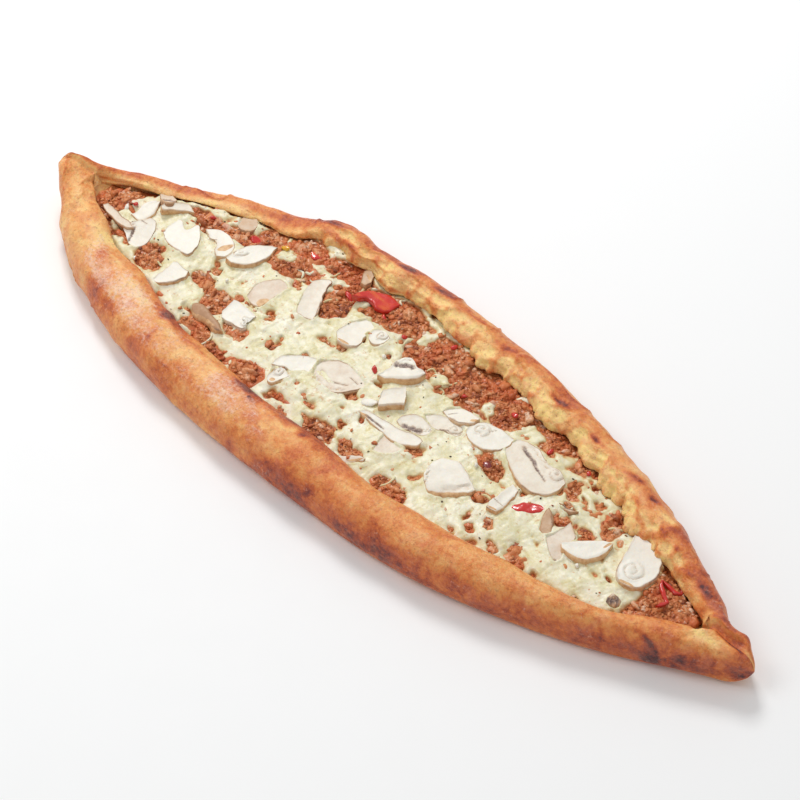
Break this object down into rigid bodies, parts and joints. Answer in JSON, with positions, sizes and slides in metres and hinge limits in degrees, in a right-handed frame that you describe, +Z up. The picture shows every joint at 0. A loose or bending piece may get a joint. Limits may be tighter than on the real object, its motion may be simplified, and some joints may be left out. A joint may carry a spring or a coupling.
{
  "type": "turkish pide",
  "caption": "Boat-shaped baked flatbread with folded rims and pinched ends, filled with minced meat under melted cheese, mushroom slices and red pepper strips.",
  "frame": {"origin": "bottom centre of the bounding box, on the flat underside of the bread", "axes": "+X along the boat towards the rounder pinched end, +Y across to the thinner wavy rim, +Z up"},
  "size_m": [0.43, 0.1348, 0.0273],
  "materials": {
    "crust": "baked dough, golden brown, faintly glazed",
    "mince": "cooked minced meat, moist",
    "cheese": "melted pale cheese, soft gloss",
    "mushroom": "sliced cooked mushroom, off-white with tan skin",
    "pepper": "cooked red pepper, wet gloss"
  },
  "bodies": {
    "root": {"crust": "crust", "mince": "mince", "cheese": "cheese", "mushroom_01": "mushroom", "mushroom_02": "mushroom", "mushroom_03": "mushroom", "mushroom_04": "mushroom", "mushroom_05": "mushroom", "mushroom_06": "mushroom", "mushroom_07": "mushroom", "mushroom_08": "mushroom", "mushroom_09": "mushroom", "mushroom_10": "mushroom", "mushroom_11": "mushroom", "mushroom_12": "mushroom", "mushroom_13": "mushroom", "mushroom_14": "mushroom", "mushroom_15": "mushroom", "mushroom_16": "mushroom", "mushroom_17": "mushroom", "mushroom_18": "mushroom", "mushroom_19": "mushroom", "mushroom_20": "mushroom", "mushroom_21": "mushroom", "mushroom_22": "mushroom", "mushroom_23": "mushroom", "mushroom_24": "mushroom", "mushroom_25": "mushroom", "mushroom_26": "mushroom", "mushroom_27": "mushroom", "mushroom_28": "mushroom", "mushroom_29": "mushroom", "mushroom_30": "mushroom", "mushroom_31": "mushroom", "mushroom_32": "mushroom", "mushroom_33": "mushroom", "mushroom_34": "mushroom", "mushroom_35": "mushroom", "mushroom_36": "mushroom", "mushroom_37": "mushroom", "mushroom_38": "mushroom", "pepper_1": "pepper", "pepper_2": "pepper", "pepper_3": "pepper", "pepper_4": "pepper", "pepper_5": "pepper"}
  },
  "joints": []
}
